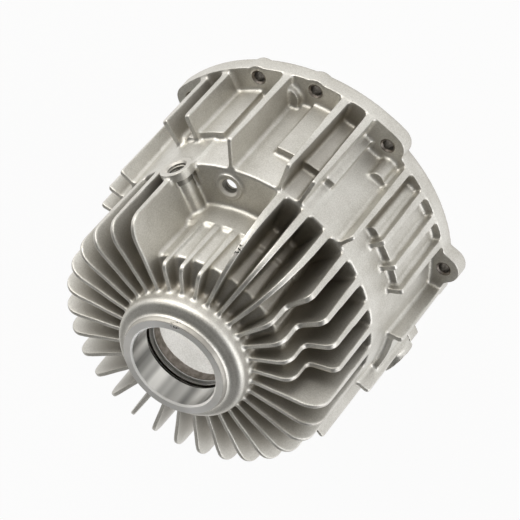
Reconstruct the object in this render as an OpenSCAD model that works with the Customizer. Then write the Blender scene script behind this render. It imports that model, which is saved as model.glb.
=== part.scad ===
// Finned end housing of a brake: one aluminium casting with a machined seat in its nose.
// It stands on its mounting face at z = 0, with the nose pointing up along +Z.
// Azimuths are in degrees from +X towards +Y, and -90 is the front.

/* [Nose] */
// Height of the nose's lip above the mounting face
total_h = 153.4; // [145:0.1:170]
// Radius of the machined seat in the nose
seat_r = 26; // [20:0.1:28]
// Depth of the seat below the lip, down to its stop
seat_depth = 21; // [19:0.1:24]
// Width of the ring groove in the seat
groove_w = 2.9; // [1:0.1:4]
// Depth of the ring groove beyond the seat's wall
groove_depth = 2; // [0.5:0.1:3]
// Distance from the lip to the groove's upper edge
groove_from_lip = 16.1; // [12:0.1:16.5]
// Radius of the rough passage below the seat
passage_r = 24.5; // [15:0.1:25]
// Outer radius of the lip's flat face
lip_r = 31.3; // [30:0.1:33]
// Height of the lip above the collar's face
lip_h = 4.4; // [2:0.1:6]
// Outer radius of the nose
nose_r = 39.4; // [38:0.1:42]
// Rounding of the nose's outer edge
nose_round = 5; // [2:0.1:6]
// Chamfer at the mouth of the seat
seat_chamfer = 1; // [0.3:0.1:1.5]

/* [Inner drum] */
// Distance from the lip down to the crown, where it meets the nose
crown_drop = 23; // [22:0.1:30]
// Fall of the crown from the nose to the inner drum
crown_fall = 4; // [1:0.1:6]
// Outer radius of the inner drum
inner_r = 55; // [52:0.1:58]
// Height of the shoulder around the inner drum
shoulder_z = 97; // [88:0.1:105]
// Step out of the wall at the shoulder
shoulder_step = 2; // [0.5:0.1:3]
// Radius of the bead at the inner drum's foot
bead_r = 2.5; // [1:0.1:4]

/* [Outer drum] */
// Height of the step face between the two drums
drum_h = 78.7; // [74:0.1:84]
// Radius of the outer drum at the step face
drum_r = 83; // [80:0.1:85]
// Growth of the outer drum's radius from the step face to the mounting face
drum_draft = 2.4; // [0.5:0.1:3]
// Rounding of the outer drum's upper edge
drum_round = 1.6; // [0.5:0.1:3]
// Thickness of the casting's walls
wall_t = 5; // [4:0.1:6]
// Distance from the axis to the flat on the front
flat_y = 82.3; // [81.5:0.1:84]
// Left edge of the flat on the front
flat_left = -24; // [-28:0.5:-15]
// Right edge of the flat on the front
flat_right = -2; // [-6:0.5:4]

/* [Fins] */
// Number of fins around the nose
fin_count = 32; // [16:1:36]
// Thickness of a fin at the step face
fin_foot_t = 5; // [3:0.1:6]
// Thickness of a fin at its upper edge
fin_top_t = 2.4; // [1.5:0.1:3]
// Distance from the lip down to the fins' upper edge
fin_drop = 15.3; // [12:0.1:20]
// Fall of a fin's upper edge from the nose to its corner
fin_fall = 1.1; // [0:0.1:3]
// Outer radius of the fins
fin_r = 82.8; // [78:0.1:83]
// Corner radius of a full fin
fin_corner_r = 12; // [5:0.5:20]
// Outer radius of a short fin
short_r = 57.1; // [57.1:0.1:62]
// Corner radius of a short fin
short_corner_r = 4.3; // [2:0.1:8]
// Outer radius of the raised part of a stepped fin
step_r = 64.8; // [60:0.1:70]
// Upper corner radius of a stepped fin
step_corner_r = 7; // [3:0.1:8]
// Distance from a stepped fin's upper edge down to its step
step_drop = 18.3; // [12:0.1:22]
// Lower corner radius of a stepped fin
step_low_r = 5.3; // [2:0.1:8]
// Radius of the inner corner at a stepped fin's step
step_inner_r = 3; // [1:0.1:5]
// Height above the step face where a slanted fin's curve ends
slant_end_h = 13.3; // [5:0.1:25]
// Azimuth where the stepped fins start
stepped_from = -150; // [-160:0.5:-140]
// Azimuth where the slanted fins start
slanted_from = -106; // [-110:0.5:-102]
// Azimuth where the short fins start
short_from = -73; // [-77:0.5:-69]
// Azimuth where the full fins start again
full_from = -39; // [-44:0.5:-35]

/* [Ribs] */
// Thickness of a rib at the flange
rib_foot_t = 5; // [3:0.1:6]
// Thickness at the upper end of the highest rib
rib_top_t = 2; // [1.5:0.1:3]
// Rounding of a rib's upper corner
rib_round = 2; // [0.5:0.1:4]
// Setback of the ribs' outer edges from the flange's rim
rib_setback = 0.5; // [0.3:0.1:3]
// Setback of the tall ribs' upper edges below the step face
rib_drop = 0.7; // [0.3:0.1:10]
// Height of the low ribs on the left
low_rib_h = 59.5; // [45:0.1:75]
// Height of the low ribs on the right
side_rib_h = 57; // [45:0.1:75]
// Height of the raised rib at the far left
high_rib_h = 94.4; // [82:0.1:100]
// Outer radius of the raised rib
high_rib_r = 96.2; // [90:0.1:98]
// Lower end of the rib beside the left boss
left_rib_from = 24; // [15:0.1:40]
// Height of the rib beside the left boss
left_rib_h = 75; // [60:0.1:78]
// Outer radius of the rib beside the left boss
left_rib_r = 92.8; // [90:0.1:94]
// Height of the pads between the ribs
pad_h = 54.5; // [30:0.1:56]
// Outer radius of the pads between the ribs
pad_r = 88.4; // [87:0.1:89]
// Height of the pad on the left
left_pad_h = 58.5; // [30:0.1:62]
// Radius of the slim round boss on the left
slim_boss_r = 4; // [3:0.1:5]
// Radius of the stub beside the flat
stub_r = 5.2; // [4:0.1:6]
// Height of the stub beside the flat
stub_h = 26; // [15:0.1:40]
// Radius of the low foot beside the middle rib
foot_boss_r = 7; // [5:0.1:8]
// Height of that foot
foot_boss_h = 15; // [12:0.1:20]
// Radius of the small bosses between the low ribs on the right
small_boss_r = 3; // [2:0.1:4]

/* [Flange] */
// Thickness of the flange
flange_t = 10; // [7:0.1:14]
// Radius of the flange's wide stretch
flange_r = 103; // [102:0.1:108]
// Radius of the rest of the flange
rim_r = 94.2; // [93.5:0.1:97]
// Radius of the flange's swell under the left boss
left_foot_r = 97.2; // [95:0.1:99]
// Azimuth where the swell starts
left_foot_start = 159.5; // [159:0.5:165]
// Azimuth where the swell ends
left_foot_end = 171.5; // [168:0.5:173]
// Radius of the flange's cut-back stretch on the left
left_rim_r = 89.2; // [89.1:0.1:93]
// Azimuth where the cut-back stretch starts
left_start = 174; // [173.5:0.5:185]
// Azimuth where the cut-back stretch ends
left_end = 199; // [190:0.5:200]
// Azimuth where the wide stretch starts
wide_start = -97; // [-99:0.5:-94]
// Azimuth where the wide stretch ends
wide_end = -12; // [-16:0.5:-8]
// Corner radius at both ends of the wide stretch
wide_corner_r = 9.5; // [8:0.1:11]
// Radius of the bolt holes
bolt_hole_r = 3.3; // [2.2:0.1:4.5]
// Radius of the chamfer around each bolt hole
bolt_mouth_r = 4.2; // [3.5:0.1:5.5]
// Distance of the outer holes from the wide stretch's edge
wide_inset = 6.1; // [5.8:0.1:8]
// Distance of the holes in lugs from the axis
bolt_r = 93.5; // [92.5:0.1:95]
// Radius of a lug that carries a bolt
lug_r = 9.5; // [7:0.1:11]
// Radius of the swell around an outer hole
swell_r = 7.5; // [6:0.1:9]

// Radius of the machined register in the mouth
register_r = 81; // [80.6:0.1:82]
// Depth of the register
register_depth = 8; // [4:0.1:9.5]

/* [Ports] */
// Radius of the upright port's threaded wall
upright_r = 4.6; // [3:0.1:5.5]
// Distance of the upright port from the axis
upright_dist = 71.4; // [68:0.1:73]
// Azimuth of the upright port
upright_az = -55.2; // [-57:0.1:-53]
// Outer radius of the ring around the upright port
upright_ring_r = 8.2; // [7:0.1:9]
// Height of that ring above the step face
upright_ring_h = 1.5; // [0.5:0.1:3]
// Radius of the side port's threaded wall
side_r = 5.5; // [4:0.1:6.5]
// Depth of the side port's thread
side_depth = 9; // [5:0.1:12]
// Radius of the passage behind the side port's thread
side_passage_r = 3; // [1.5:0.1:4]
// Azimuth of the side port
side_az = -34.2; // [-36:0.05:-32]
// Height of the side port's axis above the step face
side_lift = 4.9; // [2:0.1:6]
// Outer radius of the side port's pipe
side_pipe_r = 6; // [5:0.1:7]
// Outer radius of the side port's collar
side_collar_r = 9.8; // [8.5:0.1:10.5]
// Distance of the collar's face from the axis
side_face = 84.6; // [84:0.1:88]
// Length of the collar along the port
side_collar_l = 5; // [4:0.1:7]
// Distance of the left boss's face from the axis
left_face = 96.5; // [92:0.1:100]
// Height of the left boss's axis
left_z = 28; // [24:0.1:55]
// Radius of the left boss
left_r = 11; // [8:0.1:12]
// Radius of the threaded hole in the left boss
left_hole_r = 5.5; // [3:0.1:6]

/* [Hidden] */
$fn = 96;
eps = 0.1;
pitch = 360 / fin_count;
lip_z = total_h;
collar_z = lip_z - lip_h;
crown_z = lip_z - crown_drop;
crown_edge_z = crown_z - crown_fall;
fin_z = lip_z - fin_drop;
shoulder_r = inner_r + shoulder_step;
foot_r = drum_r + drum_draft;
bury = wall_t / 2;
side_z = drum_h + side_lift;
wide_bolt_r = flange_r - wide_inset;
corner_dist = flange_r - wide_corner_r;
rib_wide_r = flange_r - rib_setback;
rib_rim_r = rim_r - rib_setback;
tall_rib_h = drum_h - rib_drop;
slant_upper = [fin_r - 13, fin_z - 3];
slant_lower = [fin_r, fin_z - 20];
arc_steps = 8;
rim_step = 3;
lug_angle = 62;
lug_half = lug_span(bolt_r, lug_r, lug_angle, rim_r);
swell_angle = 50;
swell_half = lug_span(wide_bolt_r, swell_r, swell_angle, flange_r);
corner_cos = (pow(rim_r, 2) - pow(corner_dist, 2) - pow(wide_corner_r, 2)) / (2 * corner_dist * wide_corner_r);
corner_angle = acos(corner_cos);
corner_half = asin(wide_corner_r * sin(corner_angle) / rim_r);

// Azimuth and kind of each rib that stands on the flange
tall_wide_ribs = [-86, -76.7, -56.1];
tall_rim_ribs = [-107.5, -5, 5, 14.5, 35, 45, 55, 75, 85, 95, 115, 125, 135];
low_rim_ribs = [-159, -137.5, -127.5, -117.4];
low_wide_ribs = [-33, -23.5];
// Start and end azimuth of each pad between ribs
pads = [[-137.5, -117.4], [-91.5, -66.5], [-44.8, -35.3], [35, 55], [75, 95], [115, 135]];
left_pad = [-180, -159];
// Azimuths of the bolts in lugs on the narrow rim and in the wide stretch
lug_bolts = [-148.8, 25, 65, 105, 148];
wide_bolts = [-66, -44.7];
corner_bolts = [-96.4, -13];
// Azimuth, distance beyond the drum's foot, radius and height of each round boss on its wall
round_bosses = [
    [-114, -0.6, slim_boss_r, pad_h - 0.5],
    [-102.3, -1.5, stub_r, stub_h],
    [-56.8, 4, foot_boss_r, foot_boss_h],
    [-28.5, -1.2, small_boss_r, side_rib_h - 2],
    [-24.5, -1.2, small_boss_r, side_rib_h - 4]
];
high_rib_az = 160;
left_rib_az = 180;
left_az = 173;

// Points along an arc about c, from angle a0 to angle a1
function arc(c, r, a0, a1, steps = arc_steps) =
    [for (i = [0:steps]) let (a = a0 + (a1 - a0) * i / steps) [c.x + r * cos(a), c.y + r * sin(a)]];

// Point at t of the smooth curve that leaves a towards b and reaches d from c
function bend(a, b, c, d, t) =
    a * pow(1 - t, 3) + b * 3 * t * pow(1 - t, 2) + c * 3 * pow(t, 2) * (1 - t) + d * pow(t, 3);

// Outer half-section of the two drums and the nose, closed along the axis
function outer_section() = concat(
    [[0, flange_t / 2], [foot_r, flange_t / 2]],
    arc([drum_r - drum_round, drum_h - drum_round], drum_round, 0, 90, 4),
    arc([shoulder_r + bead_r, drum_h + bead_r], bead_r, 270, 180, 4),
    [[shoulder_r, shoulder_z - shoulder_step], [inner_r, shoulder_z]],
    arc([inner_r - shoulder_step, crown_edge_z - shoulder_step], shoulder_step, 0, 90, 4),
    [[nose_r + shoulder_step, crown_z], [nose_r, crown_z + shoulder_step]],
    arc([nose_r - nose_round, collar_z - nose_round - 1], nose_round, 0, 80),
    [[lip_r + 1.2, collar_z], [lip_r, lip_z], [0, lip_z]]
);

// Half-section of the hollow inside the drums, open at the mounting face
function hollow_section() = [
    [0, -eps],
    [register_r, -eps],
    [register_r, register_depth],
    [foot_r - wall_t, register_depth],
    [drum_r - wall_t, drum_h - wall_t],
    [shoulder_r - wall_t, drum_h - wall_t],
    [inner_r - wall_t, crown_edge_z - wall_t],
    [nose_r, crown_z - wall_t - 1],
    [passage_r, crown_z - wall_t],
    [0, crown_z - wall_t]
];

// Half-section of the seat, its ring groove and the passage below it
function bore_section() = [
    [0, crown_z - wall_t - 1],
    [passage_r, crown_z - wall_t - 1],
    [passage_r, lip_z - seat_depth],
    [seat_r, lip_z - seat_depth],
    [seat_r, lip_z - groove_from_lip - groove_w],
    [seat_r + groove_depth, lip_z - groove_from_lip - groove_w],
    [seat_r + groove_depth, lip_z - groove_from_lip],
    [seat_r, lip_z - groove_from_lip],
    [seat_r, lip_z - seat_chamfer],
    [seat_r + seat_chamfer + eps, lip_z + eps],
    [0, lip_z + eps]
];

// Root of every fin, buried in the inner drum's wall, the crown and the nose
function fin_root(low_z) = [
    [inner_r - bury, low_z],
    [inner_r - bury, crown_edge_z - bury],
    [nose_r - bury, crown_z - bury],
    [nose_r - bury, fin_z]
];

function full_fin() = concat(
    fin_root(drum_h - bury),
    arc([fin_r - fin_corner_r, fin_z - fin_fall - fin_corner_r], fin_corner_r, 90, 0),
    [[fin_r, drum_h - drum_round - eps], [fin_r - bury, drum_h - bury]]
);

function stepped_fin() = concat(
    fin_root(drum_h - bury),
    arc([step_r - step_corner_r, fin_z - fin_fall / 2 - step_corner_r], step_corner_r, 90, 0),
    arc([step_r + step_inner_r, fin_z - step_drop + step_inner_r], step_inner_r, 180, 270, 4),
    arc([fin_r - step_low_r, fin_z - step_drop - step_low_r], step_low_r, 90, 0),
    [[fin_r, drum_h - drum_round - eps], [fin_r - bury, drum_h - bury]]
);

function slanted_fin() = let (
    start = [nose_r + 1.5, fin_z],
    end = [fin_r, drum_h + slant_end_h],
    steps = 2 * arc_steps
) concat(
    fin_root(drum_h - bury),
    [for (i = [0 : steps]) bend(start, slant_upper, slant_lower, end, i / steps)],
    [[fin_r, drum_h - drum_round - eps], [fin_r - bury, drum_h - bury]]
);

function short_fin() = concat(
    fin_root(shoulder_z - shoulder_step - bury),
    arc([short_r - short_corner_r, fin_z - fin_fall / 2 - short_corner_r], short_corner_r, 90, 0, 4),
    [[short_r, shoulder_z], [short_r - 1, shoulder_z - shoulder_step - bury]]
);

// Upright plate in the XZ plane with the given outline, thinner towards the top
module drafted_plate(outline, low_z, low_t, high_z, high_t) {
    reach = flange_r + lug_r;
    intersection() {
        rotate([90, 0, 0])
            linear_extrude(2 * max(low_t, high_t), center = true)
                polygon(outline);
        rotate([90, 0, 90])
            linear_extrude(reach)
                polygon([
                    [-low_t / 2, low_z],
                    [low_t / 2, low_z],
                    [high_t / 2, high_z],
                    [-high_t / 2, high_z]
                ]);
    }
}

module fin(outline) {
    drafted_plate(outline, drum_h - wall_t, fin_foot_t + 0.2, fin_z + eps, fin_top_t);
}

function fin_outline(az) =
    az < stepped_from || az > full_from ? full_fin() :
    az < slanted_from ? stepped_fin() :
    az < short_from ? slanted_fin() :
    short_fin();

module fins() {
    for (i = [0 : fin_count - 1]) {
        az = i * pitch - 180;
        rotate([0, 0, az])
            fin(fin_outline(az));
    }
}

// Rib on the outer drum's wall, standing on the flange
module rib(reach, height, start_z = 0) {
    low_z = start_z > 0 ? start_z : flange_t - bury;
    outline = concat(
        [[drum_r - bury, low_z], [drum_r - bury, height]],
        arc([reach - rib_round, height - rib_round], rib_round, 90, 0, 4),
        [[reach, low_z]]
    );
    drafted_plate(outline, flange_t - bury, rib_foot_t, high_rib_h + eps, rib_top_t);
}

module ribs() {
    for (az = tall_wide_ribs)
        rotate([0, 0, az])
            rib(rib_wide_r, tall_rib_h);
    for (az = tall_rim_ribs)
        rotate([0, 0, az])
            rib(rib_rim_r, tall_rib_h);
    for (az = low_rim_ribs)
        rotate([0, 0, az])
            rib(rib_rim_r, low_rib_h);
    for (az = low_wide_ribs)
        rotate([0, 0, az])
            rib(rib_wide_r - 1.5, side_rib_h);
    rotate([0, 0, left_rib_az])
        rib(left_rib_r, left_rib_h, left_rib_from);
    rotate([0, 0, high_rib_az])
        rib(high_rib_r, high_rib_h);
}

// Ring of the drum's wall over the span of azimuths, standing out to pad_r
module pad(span, height) {
    rotate([0, 0, span[0]])
        rotate_extrude(angle = span[1] - span[0])
            translate([drum_r - bury, flange_t - bury])
                square([pad_r - drum_r + bury, height - flange_t + bury]);
}

// Upright round boss on the flange against the drum's wall
module wall_boss(az, dist, radius, height) {
    rotate([0, 0, az])
        translate([dist, 0, flange_t - bury])
            cylinder(r = radius, h = height - flange_t + bury);
}

module bosses() {
    for (span = pads)
        pad(span, pad_h);
    pad(left_pad, left_pad_h);
    for (boss = round_bosses)
        wall_boss(boss[0], foot_r + boss[1], boss[2], boss[3]);
}

// Where the tangent at the end of a lug's round meets the circle of radius base_r, seen from the lug
function lug_foot(dist, radius, half_angle, base_r) = let (
    p = [dist + radius * cos(half_angle), radius * sin(half_angle)],
    d = [-sin(half_angle), cos(half_angle)],
    along = p * d
) p + d * (-along - sqrt(along * along - p * p + base_r * base_r));

function turned(points, az) =
    [for (p = points) [p.x * cos(az) - p.y * sin(az), p.x * sin(az) + p.y * cos(az)]];

// A lug's round end, whose sides run along their tangents into the circle of radius base_r
function lug_points(az, dist, radius, half_angle, base_r) = let (
    foot = lug_foot(dist, radius, half_angle, base_r)
) turned(concat(
    [[foot.x, -foot.y]],
    arc([dist, 0], radius, -half_angle, half_angle),
    [[foot.x, foot.y]]
), az);

// Half the azimuth that a lug covers at the circle of radius base_r
function lug_span(dist, radius, half_angle, base_r) = let (
    foot = lug_foot(dist, radius, half_angle, base_r)
) atan2(foot.y, foot.x);

function rim_point(az, radius) = [radius * cos(az), radius * sin(az)];

// Rim between two azimuths, without its end points
function rim_points(a0, a1, radius) = let (
    steps = ceil((a1 - a0) / rim_step)
) [for (i = [1 : 1 : steps - 1]) rim_point(a0 + (a1 - a0) * i / steps, radius)];

// Whole outline of the flange, counterclockwise from the lug on the left
function flange_outline() = concat(
    lug_points(lug_bolts[0], bolt_r, lug_r, lug_angle, rim_r),
    rim_points(lug_bolts[0] + lug_half, wide_start - corner_half, rim_r),
    turned(arc([corner_dist, 0], wide_corner_r, -corner_angle, 0), wide_start),
    rim_points(wide_start, wide_bolts[0] - swell_half, flange_r),
    lug_points(wide_bolts[0], wide_bolt_r, swell_r, swell_angle, flange_r),
    rim_points(wide_bolts[0] + swell_half, wide_bolts[1] - swell_half, flange_r),
    lug_points(wide_bolts[1], wide_bolt_r, swell_r, swell_angle, flange_r),
    rim_points(wide_bolts[1] + swell_half, wide_end, flange_r),
    turned(arc([corner_dist, 0], wide_corner_r, 0, corner_angle), wide_end),
    rim_points(wide_end + corner_half, lug_bolts[1] - lug_half, rim_r),
    [for (i = [1 : len(lug_bolts) - 1]) each concat(
        lug_points(lug_bolts[i], bolt_r, lug_r, lug_angle, rim_r),
        i < len(lug_bolts) - 1 ?
            rim_points(lug_bolts[i] + lug_half, lug_bolts[i + 1] - lug_half, rim_r) :
            left_stretch()
    )]
);

// Rim over the swell and around the cut-back stretch on the left, up to the first lug again
function left_stretch() = concat(
    [rim_point(left_foot_start, left_foot_r)],
    rim_points(left_foot_start, left_foot_end, left_foot_r),
    [rim_point(left_foot_end, left_foot_r), rim_point(left_start, left_rim_r)],
    rim_points(left_start, left_end, left_rim_r),
    [rim_point(left_end, left_rim_r), rim_point(left_end, rim_r)]
);

module flange() {
    linear_extrude(flange_t)
        polygon(flange_outline());
}

// Pipe, collar and pillar of the side port, along +X
module side_port() {
    translate([inner_r - bury, 0, side_z])
        rotate([0, 90, 0])
            cylinder(r = side_pipe_r, h = side_face - inner_r - 1);
    translate([side_face - side_collar_l, 0, side_z])
        rotate([0, 90, 0])
            cylinder(r = side_collar_r, h = side_collar_l);
    translate([drum_r - bury, -side_collar_r + 0.2, side_rib_h - 1])
        cube([side_face - drum_r + bury - 0.6, 2 * side_collar_r - 0.4, side_z - side_rib_h + 1]);
}

module ports() {
    rotate([0, 0, upright_az])
        translate([upright_dist, 0, drum_h - bury])
            cylinder(r = upright_ring_r, h = upright_ring_h + bury);
    rotate([0, 0, side_az])
        side_port();
    rotate([0, 0, left_az])
        translate([drum_r - bury, 0, left_z])
            rotate([0, 90, 0])
                cylinder(r = left_r, h = left_face - drum_r + bury);
}

// Round hole along +Z with a chamfered mouth at the height top
module mouthed_hole(radius, mouth_r, low, top) {
    flare = mouth_r - radius;
    translate([0, 0, low])
        cylinder(r = radius, h = top - low + eps);
    translate([0, 0, top - flare])
        cylinder(r1 = radius, r2 = mouth_r + eps, h = flare + eps);
}

module bolt_holes(azimuths, dist) {
    for (az = azimuths)
        rotate([0, 0, az])
            translate([dist, 0, 0])
                mouthed_hole(bolt_hole_r, bolt_mouth_r, -eps, flange_t);
}

module holes() {
    bolt_holes(lug_bolts, bolt_r);
    bolt_holes(corner_bolts, corner_dist);
    bolt_holes(wide_bolts, wide_bolt_r);
    rotate([0, 0, upright_az])
        translate([upright_dist, 0, 0])
            mouthed_hole(upright_r, upright_r + 1.3, drum_h - wall_t - 1, drum_h + upright_ring_h);
    rotate([0, 0, side_az])
        translate([0, 0, side_z])
            rotate([0, 90, 0]) {
                mouthed_hole(side_r, side_r + 1, side_face - side_depth, side_face);
                translate([0, 0, inner_r - 2 * wall_t])
                    cylinder(r = side_passage_r, h = side_face - inner_r);
            }
    rotate([0, 0, left_az])
        translate([0, 0, left_z])
            rotate([0, 90, 0])
                mouthed_hole(left_hole_r, left_hole_r + 1, drum_r - 2 * wall_t, left_face);
}

module housing() {
    color([0.70, 0.69, 0.66])
    difference() {
        union() {
            difference() {
                rotate_extrude() polygon(outer_section());
                translate([flat_left, -flat_y - wall_t, flange_t])
                    cube([flat_right - flat_left, wall_t, drum_h - flange_t - drum_round]);
            }
            fins();
            ribs();
            bosses();
            ports();
            flange();
        }
        rotate_extrude() polygon(hollow_section());
        rotate_extrude() polygon(bore_section());
        holes();
    }
}

housing();
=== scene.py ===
"""The looks of a finned brake housing: one die-cast aluminium piece with a few machined places.

Everything is in metres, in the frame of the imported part: +Z along the axis towards the nose,
the mounting face at z = 0, and azimuths from +X towards +Y. The front is at azimuth -90.
"""

import math

import bmesh
import bpy
import numpy as np
from mathutils import Matrix, Vector

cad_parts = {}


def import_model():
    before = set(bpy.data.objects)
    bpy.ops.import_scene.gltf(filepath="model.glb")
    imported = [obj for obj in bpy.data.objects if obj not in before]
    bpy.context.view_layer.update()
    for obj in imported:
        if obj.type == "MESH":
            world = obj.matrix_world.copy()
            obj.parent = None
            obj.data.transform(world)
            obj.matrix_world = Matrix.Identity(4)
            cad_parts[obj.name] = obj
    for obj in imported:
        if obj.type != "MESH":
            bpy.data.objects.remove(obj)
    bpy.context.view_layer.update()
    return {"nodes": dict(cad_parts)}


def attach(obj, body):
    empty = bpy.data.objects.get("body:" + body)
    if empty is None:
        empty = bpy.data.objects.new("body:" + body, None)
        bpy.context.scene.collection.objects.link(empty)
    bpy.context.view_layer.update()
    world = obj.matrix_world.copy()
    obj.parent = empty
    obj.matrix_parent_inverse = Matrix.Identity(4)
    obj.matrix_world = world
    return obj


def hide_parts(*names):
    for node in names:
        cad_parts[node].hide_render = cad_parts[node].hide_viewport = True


MM = 0.001

# Driving dimensions of the machined places, in millimetres, as the solid has them
LIP_Z = 153.4
LIP_R = 31.3
FLANK_DROP = 2.8
FLANK_FLARE = 0.8
SEAT_R = 26.0
SEAT_FOOT_Z = 132.4
SEAT_CHAMFER = 1.0
GROOVE_R = 28.0
GROOVE_TOP_Z = 137.3
GROOVE_FOOT_Z = 134.4
PASSAGE_R = 24.5
PASSAGE_FOOT_Z = 125.4
REGISTER_R = 81.0
REGISTER_Z = 8.0
FLANGE_Z = 10.0
BOLT_R = 3.3
BOLT_MOUTH_R = 4.2
# Azimuth and distance from the axis of each screw hole in the flange
BOLTS = (
    (-148.8, 93.5),
    (-96.4, 93.5),
    (-66.0, 96.9),
    (-44.7, 96.9),
    (-13.0, 93.5),
    (25.0, 93.5),
    (65.0, 93.5),
    (105.0, 93.5),
    (148.0, 93.5),
)

# Linings over the machined places: how far they stand proud, how far the casting's skin lies
# back under them, and how deep their hidden backs and skirts reach into the metal
PROUD = 0.04
SUNK = 0.35
BACK = 0.9
SKIRT = 0.6

# The casting's skin: grid of its remaking and radius of its inner fillets, in millimetres,
# then how often it is relaxed and how fine it stays
VOXEL = 0.5
FILLET = 1.2
RELAX_PASSES = 5
CASTING_TRIANGLES = 196000

# Threads tapped in the ports: pitch and height of the ridge, in millimetres
THREAD_PITCH = 1.5
THREAD_HEIGHT = 0.75

# Steps of a full turn of a lining and of a thread
SPIN_STEPS = 96
THREAD_STEPS = 32

# Centres of the two patches where gas pits lie open, in metres: by the lip's edge and on a
# fin's edge
LIP_PITS = (0.0140, -0.0281, 0.1528)
FIN_PITS = (0.0149, -0.0722, 0.1223)

# Camera: the photograph's frame is square, and its focal length is five frame widths
FOCAL_MM = 180.0
SENSOR_MM = 36.0
CAMERA_AT = (0.0071, -1.0876, 1.0479)
CAMERA_RIGHT = (-0.7589, -0.4418, -0.4784)
CAMERA_UP = (0.6512, -0.5109, -0.5613)


def add_node(tree, kind, settings=(), links=()):
    """Adds a node, sets its properties and inputs from name and value pairs, and links its inputs."""
    node = tree.nodes.new(kind)
    for name, value in settings:
        if isinstance(name, str) and hasattr(node, name):
            setattr(node, name, value)
        else:
            node.inputs[name].default_value = value
    for name, output in links:
        tree.links.new(output, node.inputs[name])
    return node


def linear(hex_colour):
    """An sRGB hex colour as linear red, green, blue and alpha."""
    channels = [int(hex_colour[i : i + 2], 16) / 255 for i in (1, 3, 5)]
    return tuple(
        c / 12.92 if c <= 0.04045 else ((c + 0.055) / 1.055) ** 2.4 for c in channels
    ) + (1.0,)


def new_material(name):
    material = bpy.data.materials.new(name)
    material.use_nodes = True
    material.node_tree.nodes.clear()
    return material, material.node_tree


def build_camera():
    camera = bpy.data.cameras.new("camera")
    camera.lens = FOCAL_MM
    camera.sensor_width = SENSOR_MM
    camera.clip_start = 0.1
    camera.clip_end = 50.0
    right = Vector(CAMERA_RIGHT).normalized()
    up = Vector(CAMERA_UP).normalized()
    back = right.cross(up).normalized()
    up = back.cross(right)
    turn = Matrix((right, up, back)).transposed().to_4x4()
    thing = bpy.data.objects.new("camera", camera)
    thing.matrix_world = Matrix.Translation(CAMERA_AT) @ turn
    bpy.context.scene.collection.objects.link(thing)
    bpy.context.scene.camera = thing


def area_light(name, place, target, size, watts, colour):
    light = bpy.data.lights.new(name, "AREA")
    light.shape = "RECTANGLE"
    light.size, light.size_y = size
    light.energy = watts
    light.color = linear(colour)[:3]
    thing = bpy.data.objects.new(name, light)
    thing.location = place
    thing.rotation_euler = (Vector(target) - Vector(place)).to_track_quat("-Z", "Y").to_euler()
    bpy.context.scene.collection.objects.link(thing)


def build_lights():
    """Long low lamps on the front right and the left, a soft one overhead, and one in the bell."""
    middle = (0.0, 0.0, 0.07)
    area_light("key", (1.1, -1.0, 0.35), middle, (2.0, 0.8), 20.0, "#FFFDF9")
    area_light("fill", (-1.3, -0.7, 0.35), middle, (1.8, 0.8), 12.0, "#FBFCFF")
    area_light("overhead", (0.0, 0.7, 1.1), middle, (0.9, 0.7), 1.2, "#FFFEFB")
    area_light("in_the_bell", (0.0, 0.0, 0.004), (0.0, 0.0, 0.1), (0.09, 0.09), 0.03, "#F2F5FF")


def build_world():
    """A white sweep around the horizon and a dim ceiling; camera rays see plain white."""
    world = bpy.data.worlds.new("studio")
    bpy.context.scene.world = world
    world.use_nodes = True
    tree = world.node_tree
    tree.nodes.clear()
    path = add_node(tree, "ShaderNodeLightPath")
    heading = add_node(tree, "ShaderNodeTexCoord").outputs["Generated"]
    height = add_node(tree, "ShaderNodeSeparateXYZ", links=[(0, heading)]).outputs["Z"]
    level = add_node(
        tree,
        "ShaderNodeMapRange",
        [("From Min", 0.06), ("From Max", 0.42), ("To Min", 1.0), ("To Max", 0.09)],
        [("Value", height)],
    )
    soft = add_node(
        tree,
        "ShaderNodeBackground",
        [("Color", linear("#FBFAF8"))],
        [("Strength", level.outputs[0])],
    )
    seen = add_node(tree, "ShaderNodeBackground", [("Color", linear("#FFFFFF")), ("Strength", 1.0)])
    mix = add_node(
        tree,
        "ShaderNodeMixShader",
        links=[(0, path.outputs["Is Camera Ray"]), (1, soft.outputs[0]), (2, seen.outputs[0])],
    )
    add_node(tree, "ShaderNodeOutputWorld", links=[("Surface", mix.outputs[0])])


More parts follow.
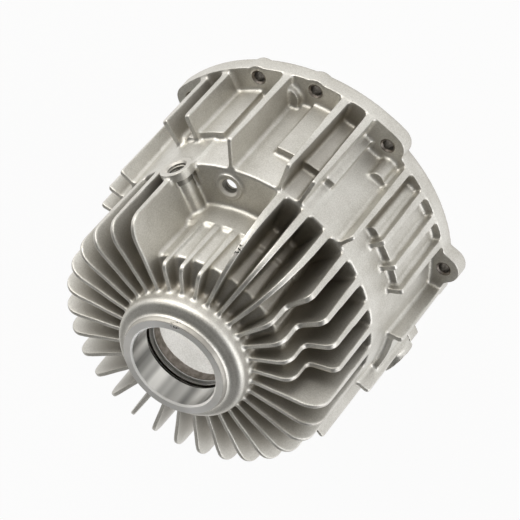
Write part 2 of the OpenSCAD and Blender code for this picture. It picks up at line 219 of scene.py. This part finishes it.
def build_floor():
    """White studio paper: seen directly and in metal it is near white, and it keeps the shadow."""
    material, tree = new_material("white_studio_paper")
    path = add_node(tree, "ShaderNodeLightPath")
    seen_or_mirrored = add_node(
        tree,
        "ShaderNodeMath",
        [("operation", "MAXIMUM")],
        [(0, path.outputs["Is Camera Ray"]), (1, path.outputs["Is Glossy Ray"])],
    )
    seen_at_all = add_node(
        tree,
        "ShaderNodeMath",
        [("operation", "MAXIMUM")],
        [(0, seen_or_mirrored.outputs[0]), (1, path.outputs["Is Transmission Ray"])],
    )
    # The rest of the share stays real paper, which holds the shadow
    share = add_node(
        tree,
        "ShaderNodeMath",
        [("operation", "MULTIPLY"), (1, 0.95)],
        [(0, seen_at_all.outputs[0])],
    )
    paper = add_node(
        tree, "ShaderNodeBsdfDiffuse", [("Color", linear("#F6F5F3")), ("Roughness", 1.0)]
    )
    glow = add_node(tree, "ShaderNodeEmission", [("Color", linear("#FFFFFF")), ("Strength", 1.0)])
    mix = add_node(
        tree,
        "ShaderNodeMixShader",
        links=[(0, share.outputs[0]), (1, paper.outputs[0]), (2, glow.outputs[0])],
    )
    add_node(tree, "ShaderNodeOutputMaterial", links=[("Surface", mix.outputs[0])])
    bm = bmesh.new()
    bmesh.ops.create_grid(bm, x_segments=1, y_segments=1, size=6.0)
    bmesh.ops.translate(bm, verts=bm.verts, vec=(0.0, 0.0, -0.2 * MM))
    mesh = bpy.data.meshes.new("floor")
    bm.to_mesh(mesh)
    bm.free()
    mesh.materials.append(material)
    floor = bpy.data.objects.new("floor", mesh)
    bpy.context.scene.collection.objects.link(floor)


def pitted(tree, place, colour, centre, reach, share_shut):
    """The colour with the small dark gas pits that lie open within reach of a centre.

    The higher the share that is shut, from 0 to 1, the fewer and the smaller the pits are.
    """
    away = add_node(
        tree,
        "ShaderNodeVectorMath",
        [("operation", "DISTANCE"), (1, centre)],
        [(0, place)],
    )
    within = add_node(
        tree,
        "ShaderNodeMapRange",
        [("From Min", reach), ("From Max", 0.6 * reach)],
        [("Value", away.outputs["Value"])],
    )
    # Each pit is about 0.8 mm across
    spots = add_node(
        tree, "ShaderNodeTexNoise", [("Scale", 1 / (1.3 * MM)), ("Detail", 1.0)], [("Vector", place)]
    )
    open_pits = add_node(
        tree,
        "ShaderNodeMapRange",
        [("From Min", share_shut), ("From Max", share_shut + 0.05)],
        [("Value", spots.outputs["Fac"])],
    )
    share = add_node(
        tree,
        "ShaderNodeMath",
        [("operation", "MULTIPLY")],
        [(0, within.outputs[0]), (1, open_pits.outputs[0])],
    )
    mix = add_node(
        tree,
        "ShaderNodeMix",
        [("data_type", "RGBA"), (7, linear("#1C1A17"))],
        [(0, share.outputs[0]), (6, colour)],
    )
    return mix.outputs[2]


def cast_aluminium():
    """Die-cast aluminium, bead-blasted: a satin warm grey with a fine even grain, and painted shade
    at the bottoms of the deep gaps.
    """
    material, tree = new_material("die_cast_aluminium_blasted")
    place = add_node(tree, "ShaderNodeTexCoord").outputs["Object"]
    # Blasting leaves dimples of about 0.1 mm, drawn 0.8 mm across so that they show
    grain = add_node(
        tree,
        "ShaderNodeTexNoise",
        [("Scale", 1 / (0.8 * MM)), ("Detail", 2.0), ("Roughness", 0.6)],
        [("Vector", place)],
    )
    bump = add_node(
        tree,
        "ShaderNodeBump",
        [("Strength", 0.4), ("Distance", 0.1 * MM)],
        [("Height", grain.outputs["Fac"])],
    )
    # The melt's flow leaves clouds of slightly different tone, some 25 mm wide
    cloud = add_node(
        tree,
        "ShaderNodeTexNoise",
        [("Scale", 1 / (25 * MM)), ("Detail", 4.0), ("Roughness", 0.55)],
        [("Vector", place)],
    )
    mottle = add_node(
        tree,
        "ShaderNodeMix",
        [("data_type", "FLOAT"), (0, 0.5)],
        [(2, cloud.outputs["Fac"]), (3, grain.outputs["Fac"])],
    )
    tone = add_node(tree, "ShaderNodeValToRGB", links=[("Fac", mottle.outputs[0])])
    tone.color_ramp.elements[0].position = 0.36
    tone.color_ramp.elements[0].color = linear("#C3C0B8")
    tone.color_ramp.elements[1].position = 0.64
    tone.color_ramp.elements[1].color = linear("#E2E0DA")
    # Painted shade: where ambient occlusion finds deep gaps, the tone is mixed towards a darker grey
    open_sky = add_node(tree, "ShaderNodeAmbientOcclusion", [("samples", 8), ("Distance", 22 * MM)])
    unshaded_share = add_node(
        tree,
        "ShaderNodeMapRange",
        [("From Min", 0.1), ("From Max", 0.65)],
        [("Value", open_sky.outputs["AO"])],
    )
    # The darker grey here is the painted shade of the deep gaps
    skin = add_node(
        tree,
        "ShaderNodeMix",
        [("data_type", "RGBA"), (6, linear("#9C968B"))],
        [(0, unshaded_share.outputs[0]), (7, tone.outputs["Color"])],
    )
    satin = add_node(
        tree,
        "ShaderNodeMapRange",
        [("To Min", 0.46), ("To Max", 0.56)],
        [("Value", grain.outputs["Fac"])],
    )
    surface = add_node(
        tree,
        "ShaderNodeBsdfPrincipled",
        [("Metallic", 1.0)],
        [
            ("Base Color", pitted(tree, place, skin.outputs[2], FIN_PITS, 3.6 * MM, 0.56)),
            ("Roughness", satin.outputs[0]),
            ("Normal", bump.outputs[0]),
        ],
    )
    add_node(tree, "ShaderNodeOutputMaterial", links=[("Surface", surface.outputs[0])])
    return material


def raw_casting():
    """Die-cast aluminium that neither the blast nor a tool has touched: dull, darker and brownish."""
    material, tree = new_material("die_cast_aluminium_raw")
    place = add_node(tree, "ShaderNodeTexCoord").outputs["Object"]
    # Release agent burnt on in blotches of about 3 mm
    blotch = add_node(
        tree, "ShaderNodeTexNoise", [("Scale", 1 / (3 * MM)), ("Detail", 5.0)], [("Vector", place)]
    )
    bump = add_node(
        tree,
        "ShaderNodeBump",
        [("Strength", 0.5), ("Distance", 0.3 * MM)],
        [("Height", blotch.outputs["Fac"])],
    )
    tone = add_node(tree, "ShaderNodeValToRGB", links=[("Fac", blotch.outputs["Fac"])])
    tone.color_ramp.elements[0].position = 0.3
    tone.color_ramp.elements[0].color = linear("#756D63")
    tone.color_ramp.elements[1].position = 0.7
    tone.color_ramp.elements[1].color = linear("#9F9891")
    surface = add_node(
        tree,
        "ShaderNodeBsdfPrincipled",
        [("Metallic", 1.0), ("Roughness", 0.5)],
        [("Base Color", tone.outputs["Color"]), ("Normal", bump.outputs[0])],
    )
    add_node(tree, "ShaderNodeOutputMaterial", links=[("Surface", surface.outputs[0])])
    return material


def turned_aluminium(name, roughness, dull, bright):
    """Turned aluminium: brighter than the casting, with fine rings that draw highlights out and
    painted reflection streaks along the axis.
    """
    material, tree = new_material(name)
    feed_way = add_node(tree, "ShaderNodeTangent", [("direction_type", "RADIAL"), ("axis", "Z")])
    place = add_node(tree, "ShaderNodeTexCoord").outputs["Object"]
    height = add_node(tree, "ShaderNodeSeparateXYZ", links=[(0, place)]).outputs["Z"]
    flat = add_node(
        tree, "ShaderNodeVectorMath", [("operation", "MULTIPLY"), (1, (1.0, 1.0, 0.0))], [(0, place)]
    )
    reach = add_node(
        tree, "ShaderNodeVectorMath", [("operation", "LENGTH")], [(0, flat.outputs[0])]
    )
    section = add_node(
        tree,
        "ShaderNodeCombineXYZ",
        links=[("X", reach.outputs["Value"]), ("Z", height)],
    )
    # The tool's feed is about 0.15 mm, drawn 0.35 mm wide so that its rings show
    rings = add_node(
        tree,
        "ShaderNodeTexNoise",
        [("Scale", 1 / (0.35 * MM)), ("Detail", 1.0)],
        [("Vector", section.outputs[0])],
    )
    bump = add_node(
        tree,
        "ShaderNodeBump",
        [("Strength", 0.25), ("Distance", 0.05 * MM)],
        [("Height", rings.outputs["Fac"])],
    )
    # Painted reflections: soft streaks between the dull and the bright colour that run along the
    # axis, some 15 mm wide on the seat
    heading = add_node(
        tree, "ShaderNodeVectorMath", [("operation", "NORMALIZE")], [(0, flat.outputs[0])]
    )
    painted_reflection_streaks = add_node(
        tree,
        "ShaderNodeTexNoise",
        [("Scale", 1.5), ("Detail", 2.0), ("Roughness", 0.55)],
        [("Vector", heading.outputs[0])],
    )
    tone = add_node(tree, "ShaderNodeValToRGB", links=[("Fac", painted_reflection_streaks.outputs["Fac"])])
    tone.color_ramp.elements[0].position = 0.41
    tone.color_ramp.elements[0].color = linear(dull)
    tone.color_ramp.elements[1].position = 0.58
    tone.color_ramp.elements[1].color = linear(bright)
    surface = add_node(
        tree,
        "ShaderNodeBsdfPrincipled",
        [("Metallic", 1.0), ("Roughness", roughness), ("Anisotropic", 0.6)],
        [
            ("Base Color", pitted(tree, place, tone.outputs["Color"], LIP_PITS, 3.5 * MM, 0.55)),
            ("Normal", bump.outputs[0]),
            ("Tangent", feed_way.outputs[0]),
        ],
    )
    add_node(tree, "ShaderNodeOutputMaterial", links=[("Surface", surface.outputs[0])])
    return material


def painted_shade_aluminium():
    """Machined aluminium darkened as painted shade: the ring groove and the bolt holes' walls look
    dark from outside.
    """
    material, tree = new_material("aluminium_painted_shade")
    place = add_node(tree, "ShaderNodeTexCoord").outputs["Object"]
    # The painted shade's tone varies in patches of about 1.5 mm
    patches = add_node(
        tree, "ShaderNodeTexNoise", [("Scale", 1 / (1.5 * MM)), ("Detail", 2.0)], [("Vector", place)]
    )
    tone = add_node(tree, "ShaderNodeValToRGB", links=[("Fac", patches.outputs["Fac"])])
    tone.color_ramp.elements[0].position = 0.3
    tone.color_ramp.elements[0].color = linear("#4A4640")
    tone.color_ramp.elements[1].position = 0.7
    tone.color_ramp.elements[1].color = linear("#7A756D")
    surface = add_node(
        tree,
        "ShaderNodeBsdfPrincipled",
        [("Metallic", 1.0), ("Roughness", 0.35)],
        [("Base Color", tone.outputs["Color"])],
    )
    add_node(tree, "ShaderNodeOutputMaterial", links=[("Surface", surface.outputs[0])])
    return material


def evaluated(thing, modifiers):
    """The thing's mesh after the given modifiers, each a kind and its settings."""
    for kind, settings in modifiers:
        modifier = thing.modifiers.new(kind.lower(), kind)
        for name, value in settings:
            setattr(modifier, name, value)
    graph = bpy.context.evaluated_depsgraph_get()
    mesh = bpy.data.meshes.new_from_object(thing.evaluated_get(graph))
    thing.modifiers.clear()
    return mesh


def around(azimuth, reach, z):
    """The place at an azimuth, a distance from the axis and a height, all lengths in millimetres."""
    angle = math.radians(azimuth)
    return Vector((reach * math.cos(angle), reach * math.sin(angle), z)) * MM


def ramp(values, low, high):
    """0 below low, 1 above high and an even rise between them."""
    return np.clip((values - low) / (high - low), 0.0, 1.0)


# Each port: the place of its mouth in metres, its axis, the radii of its wall, its mouth and the
# face around it, and its depth, in millimetres
PORTS = {
    "upright": (around(-55.2, 71.4, 80.2), Vector((0.0, 0.0, 1.0)), 4.6, 5.9, 7.4, 6.5),
    "side": (around(-34.2, 84.6, 83.6), around(-34.2, 1.0, 0.0).normalized(), 5.5, 6.5, 9.0, 9.0),
    "left": (around(173.0, 96.5, 28.0), around(173.0, 1.0, 0.0).normalized(), 5.5, 6.5, 10.2, 16.0),
}


def from_port(places, mouth, axis):
    """Each place's distance from a port's axis and its height over the mouth, in millimetres."""
    offset = places - np.array(mouth)
    along = offset @ np.array(axis)
    near = np.linalg.norm(offset - along[:, None] * np.array(axis), axis=1)
    return near / MM, along / MM


def castness(places):
    """1 where the skin is as cast, and 0 at the machined places, for places in metres."""
    x, y, z = (places / MM).T
    reach = np.hypot(x, y)
    off_mating_face = ramp(z, 1.0, 2.5)
    off_nose = np.maximum(
        ramp(reach, LIP_R + 1.7, LIP_R + 3.7),
        1.0 - ramp(z, PASSAGE_FOOT_Z - 6.4, PASSAGE_FOOT_Z - 4.4),
    )
    off_register = np.maximum(
        ramp(np.abs(reach - REGISTER_R), 2.0, 3.0), ramp(z, REGISTER_Z + 1.0, REGISTER_Z + 3.0)
    )
    free = np.minimum(np.minimum(off_mating_face, off_nose), off_register)
    for azimuth, distance in BOLTS:
        centre = around(azimuth, distance, 0.0) / MM
        near = np.hypot(x - centre.x, y - centre.y)
        off_hole = ramp(near, BOLT_MOUTH_R + 0.4, BOLT_MOUTH_R + 1.8)
        free = np.minimum(free, np.maximum(off_hole, ramp(z, FLANGE_Z + 2.0, FLANGE_Z + 4.0)))
    for mouth, axis, _wall, _mouth_r, face_r, depth in PORTS.values():
        near, along = from_port(places, mouth, axis)
        beyond = np.maximum(ramp(-along, depth + 4.0, depth + 6.0), ramp(along, 2.0, 3.0))
        free = np.minimum(free, np.maximum(ramp(near, face_r - 0.3, face_r + 0.3), beyond))
    return free


def covered(places):
    """1 where a lining lies over the casting's skin, for places in metres."""
    x, y, z = (places / MM).T
    reach = np.hypot(x, y)
    seat = np.minimum(
        1.0 - ramp(reach, LIP_R - 0.8, LIP_R - 0.3), ramp(z, SEAT_FOOT_Z - 0.5, SEAT_FOOT_Z - 0.1)
    )
    lip = np.minimum(
        1.0 - ramp(reach, LIP_R + 0.9, LIP_R + 1.3), ramp(z, LIP_Z - 2.6, LIP_Z - 2.2)
    )
    over = np.maximum(seat, lip)
    for azimuth, distance in BOLTS:
        centre = around(azimuth, distance, 0.0) / MM
        near = np.hypot(x - centre.x, y - centre.y)
        hole = 1.0 - ramp(near, BOLT_MOUTH_R + 0.1, BOLT_MOUTH_R + 0.3)
        in_flange = np.minimum(ramp(z, 0.4, 1.2), 1.0 - ramp(z, FLANGE_Z + 2.0, FLANGE_Z + 3.0))
        over = np.maximum(over, np.minimum(hole, in_flange))
    for mouth, axis, _wall, _mouth_r, face_r, depth in PORTS.values():
        near, along = from_port(places, mouth, axis)
        hole = 1.0 - ramp(near, face_r - 0.4, face_r - 0.1)
        in_metal = np.minimum(ramp(along, -depth, 0.5 - depth), 1.0 - ramp(along, 1.0, 2.0))
        over = np.maximum(over, np.minimum(hole, in_metal))
    return over


def push(mesh, distance, where):
    """Moves the skin along its normals, by the share that where gives for each place."""
    count = len(mesh.vertices)
    places = np.empty(count * 3, np.float32)
    normals = np.empty(count * 3, np.float32)
    mesh.vertices.foreach_get("co", places)
    mesh.vertex_normals.foreach_get("vector", normals)
    places = places.reshape(-1, 3).astype(float)
    places += normals.reshape(-1, 3) * (where(places) * distance)[:, None]
    mesh.vertices.foreach_set("co", places.astype(np.float32).ravel())
    mesh.update()


def relax(mesh, passes):
    """Evens out the skin, which rounds its outer edges, and leaves the machined places alone."""
    count = len(mesh.vertices)
    edges = np.empty(len(mesh.edges) * 2, np.int32)
    mesh.edges.foreach_get("vertices", edges)
    first, second = edges.reshape(-1, 2).T
    places = np.empty(count * 3, np.float32)
    mesh.vertices.foreach_get("co", places)
    places = places.reshape(-1, 3).astype(float)
    ties = np.bincount(first, minlength=count) + np.bincount(second, minlength=count)
    share = 0.15 + 0.35 * castness(places)
    for _ in range(passes):
        for axis in range(3):
            line = places[:, axis]
            total = np.bincount(first, line[second], count) + np.bincount(second, line[first], count)
            line += share * (total / ties - line)
    mesh.vertices.foreach_set("co", places.astype(np.float32).ravel())
    mesh.update()


def finish_of(centres):
    """0 where a face of the casting is blasted, 1 where it is turned and 2 where it is raw.

    The mating face and the register are turned, and the passage under the seat is raw.
    """
    x, y, z = (centres / MM).T
    reach = np.hypot(x, y)
    mating = z < 0.3
    register = (np.abs(reach - REGISTER_R) < 0.6) & (z < REGISTER_Z)
    passage = (reach < PASSAGE_R + 0.7) & (z > PASSAGE_FOOT_Z - 1.5)
    return np.where(mating | register, 1, np.where(passage, 2, 0))


def build_casting(cad, materials):
    """The casting with its fillets: the solid's skin is remade finely, closed, relaxed and thinned.

    Pushing the skin out, remaking it and pulling it back fills its inner corners with fillets.
    """
    bm = bmesh.new()
    bm.from_mesh(cad.data)
    bmesh.ops.remove_doubles(bm, verts=bm.verts, dist=0.001 * MM)
    skin = bpy.data.meshes.new("casting")
    bm.to_mesh(skin)
    bm.free()
    casting = bpy.data.objects.new("casting", skin)
    bpy.context.scene.collection.objects.link(casting)
    remake = ("REMESH", [("mode", "VOXEL"), ("voxel_size", VOXEL * MM)])
    casting.data = evaluated(casting, [remake])
    relax(casting.data, 1)
    push(casting.data, FILLET * MM, castness)
    casting.data = evaluated(casting, [remake])
    relax(casting.data, 1)
    push(casting.data, -FILLET * MM, castness)
    relax(casting.data, RELAX_PASSES)
    push(casting.data, -SUNK * MM, covered)
    share = CASTING_TRIANGLES / (2 * len(casting.data.polygons))
    casting.data = evaluated(casting, [("DECIMATE", [("ratio", share)])])
    casting.data.polygons.foreach_set("use_smooth", [True] * len(casting.data.polygons))
    casting.data = evaluated(casting, [("WEIGHTED_NORMAL", [("weight", 50)])])
    casting.data.materials.clear()
    for material in materials:
        casting.data.materials.append(material)
    centres = np.empty(len(casting.data.polygons) * 3, np.float32)
    casting.data.polygons.foreach_get("center", centres)
    finishes = finish_of(centres.reshape(-1, 3).astype(float))
    casting.data.polygons.foreach_set("material_index", finishes.astype(np.int32))
    return casting


def add_ring(bm, section, mouth, axis, turns=1.0, pitch=0.0):
    """Spins a closed section, as distances from the axis and heights over the mouth in millimetres.

    With a pitch the section climbs as it turns, as a thread's ridge does, and its ends are closed.
    """
    before = set(bm.verts)
    corners = [bm.verts.new((reach * MM, 0.0, height * MM)) for reach, height in section]
    outline = [bm.edges.new(pair) for pair in zip(corners, corners[1:] + corners[:1])]
    start = [bm.faces.new(corners)] if pitch else []
    steps = round(turns * (THREAD_STEPS if pitch else SPIN_STEPS))
    bmesh.ops.spin(
        bm,
        geom=corners + outline + start,
        cent=(0.0, 0.0, 0.0),
        axis=(0.0, 0.0, 1.0),
        dvec=(0.0, 0.0, pitch * turns * MM / steps),
        angle=math.tau * turns,
        steps=steps,
        use_merge=not pitch,
    )
    added = [vert for vert in bm.verts if vert not in before]
    turn = axis.to_track_quat("Z", "Y").to_matrix().to_4x4()
    bmesh.ops.transform(bm, matrix=Matrix.Translation(mouth) @ turn, verts=added)


def finish_piece(bm, name, material):
    """Makes the mesh an object of its own that belongs to the housing."""
    bmesh.ops.remove_doubles(bm, verts=bm.verts, dist=0.001 * MM)
    bmesh.ops.recalc_face_normals(bm, faces=bm.faces)
    mesh = bpy.data.meshes.new(name)
    bm.to_mesh(mesh)
    bm.free()
    mesh.polygons.foreach_set("use_smooth", [True] * len(mesh.polygons))
    mesh.set_sharp_from_angle(angle=math.radians(30.0))
    mesh.materials.append(material)
    piece = bpy.data.objects.new(name, mesh)
    bpy.context.scene.collection.objects.link(piece)
    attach(piece, "root")
    return piece


def build_seat(materials):
    """The turned lip, the seat with its ring groove and the ledge at its foot, as one thin lining."""
    back_r = GROOVE_R + BACK
    # The lip's outer edge is broken by about 0.4 mm
    section = [
        (LIP_R + FLANK_FLARE, LIP_Z - FLANK_DROP),
        (LIP_R + 0.15, LIP_Z - 0.4),
        (LIP_R - 0.25, LIP_Z + PROUD),
        (SEAT_R + SEAT_CHAMFER, LIP_Z + PROUD),
        (SEAT_R - PROUD, LIP_Z - SEAT_CHAMFER),
        (SEAT_R - PROUD, GROOVE_TOP_Z),
        (GROOVE_R - PROUD, GROOVE_TOP_Z),
        (GROOVE_R - PROUD, GROOVE_FOOT_Z),
        (SEAT_R - PROUD, GROOVE_FOOT_Z),
        (SEAT_R - PROUD, SEAT_FOOT_Z + PROUD),
        (PASSAGE_R - PROUD, SEAT_FOOT_Z + PROUD),
        (PASSAGE_R - PROUD, SEAT_FOOT_Z - SKIRT),
        (back_r, SEAT_FOOT_Z - SKIRT),
        (back_r, LIP_Z - FLANK_DROP),
    ]
    bm = bmesh.new()
    add_ring(bm, section, Vector(), Vector((0.0, 0.0, 1.0)))
    seat = finish_piece(bm, "turned_seat", materials[0])
    for material in materials[1:]:
        seat.data.materials.append(material)
    # Painted shade in the groove. The lip and the ledge are faced and, with the wall under the
    # groove, get a brighter copy that is painted light. The lip's flank gets a darker copy that is
    # painted shade
    for face in seat.data.polygons:
        reach = math.hypot(face.center.x, face.center.y) / MM
        height = face.center.z / MM
        in_groove = GROOVE_FOOT_Z - 0.1 < height < GROOVE_TOP_Z + 0.1
        if in_groove and SEAT_R < reach < GROOVE_R + 0.1:
            face.material_index = 1
        elif reach > LIP_R - 0.3:
            face.material_index = 3
        elif reach > SEAT_R + 0.1 or height < GROOVE_FOOT_Z:
            face.material_index = 2


def sleeve(wall, mouth_r, face_r, depth):
    """Section of a hole's thin lining: the face around its mouth, the chamfer and the wall."""
    return [
        (face_r, -SKIRT),
        (face_r, PROUD - 0.1),
        (face_r - 0.1, PROUD),
        (mouth_r, PROUD),
        (wall - PROUD, wall - mouth_r),
        (wall - PROUD, -depth),
        (wall + BACK, -depth),
        (wall + BACK, wall - mouth_r - SKIRT),
    ]


def build_bolt_holes(material, mouth_material):
    """Each hole's lining and the chamfer around its mouth."""
    bm = bmesh.new()
    for azimuth, distance in BOLTS:
        mouth = around(azimuth, distance, FLANGE_Z)
        lining = sleeve(BOLT_R, BOLT_MOUTH_R, BOLT_MOUTH_R + 0.4, FLANGE_Z - 0.05)
        add_ring(bm, lining, mouth, Vector((0.0, 0.0, 1.0)))
    holes = finish_piece(bm, "drilled_bolt_holes", material)
    holes.data.materials.append(mouth_material)
    for face in holes.data.polygons:
        if face.center.z / MM > FLANGE_Z - (BOLT_MOUTH_R - BOLT_R):
            face.material_index = 1


def build_ports(material, face_material):
    """Each port's lining with its faced and chamfered mouth, and the thread's ridge down its wall."""
    for name, (mouth, axis, wall, mouth_r, face_r, depth) in PORTS.items():
        bm = bmesh.new()
        add_ring(bm, sleeve(wall, mouth_r, face_r, depth), mouth, axis)
        # The lining and the thread get the darker copy, which is painted shade
        lining = finish_piece(bm, name + "_port_lining", material)
        lining.data.materials.append(face_material)
        for face in lining.data.polygons:
            if (face.center - mouth).dot(axis) / MM > wall - mouth_r:
                face.material_index = 1
        # The ridge is widest at its foot, which is in the wall, and blunt at its crest
        ridge = [
            (wall + 0.2, -depth),
            (wall + 0.2, 0.9 * THREAD_PITCH - depth),
            (wall - THREAD_HEIGHT, 0.55 * THREAD_PITCH - depth),
            (wall - THREAD_HEIGHT, 0.35 * THREAD_PITCH - depth),
        ]
        turns = (depth - (mouth_r - wall)) / THREAD_PITCH - 0.8
        bm = bmesh.new()
        add_ring(bm, ridge, mouth, axis, turns, THREAD_PITCH)
        finish_piece(bm, name + "_port_thread", material)


def main():
    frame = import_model()
    build_camera()
    build_world()
    build_floor()
    build_lights()
    cast = cast_aluminium()
    raw = raw_casting()
    # The turned seat's wide streaks, from dark grey to near white, are painted reflections
    turned = turned_aluminium("aluminium_turned", 0.33, "#8C8C8B", "#FCFCFB")
    # A brighter copy of the turned aluminium, painted light on the lip, the seat's chamfer, the ledge
    # and the wall under the groove, which the lamps leave dark
    faced = turned_aluminium("aluminium_faced_painted_light", 0.75, "#F2F1EE", "#FAF9F7")
    # A darker copy of the turned aluminium, painted shade that dims the lamps' highlight on the lip's
    # flank and darkens the ports' linings and threads
    dull = turned_aluminium("aluminium_turned_painted_shade", 0.5, "#908D87", "#A8A59E")
    satin = turned_aluminium("aluminium_faced_satin", 0.6, "#C6C3BC", "#D8D5CE")
    painted_hole_shade = painted_shade_aluminium()
    cad = frame["nodes"]["housing"]
    casting = build_casting(cad, [cast, turned, raw])
    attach(casting, "root")
    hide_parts("housing")
    build_seat([turned, painted_hole_shade, faced, dull])
    # The bolt holes' walls get the painted shade, and their chamfers the raw casting
    build_bolt_holes(painted_hole_shade, raw)
    build_ports(dull, satin)
    bpy.context.scene.view_settings.view_transform = "Standard"


main()
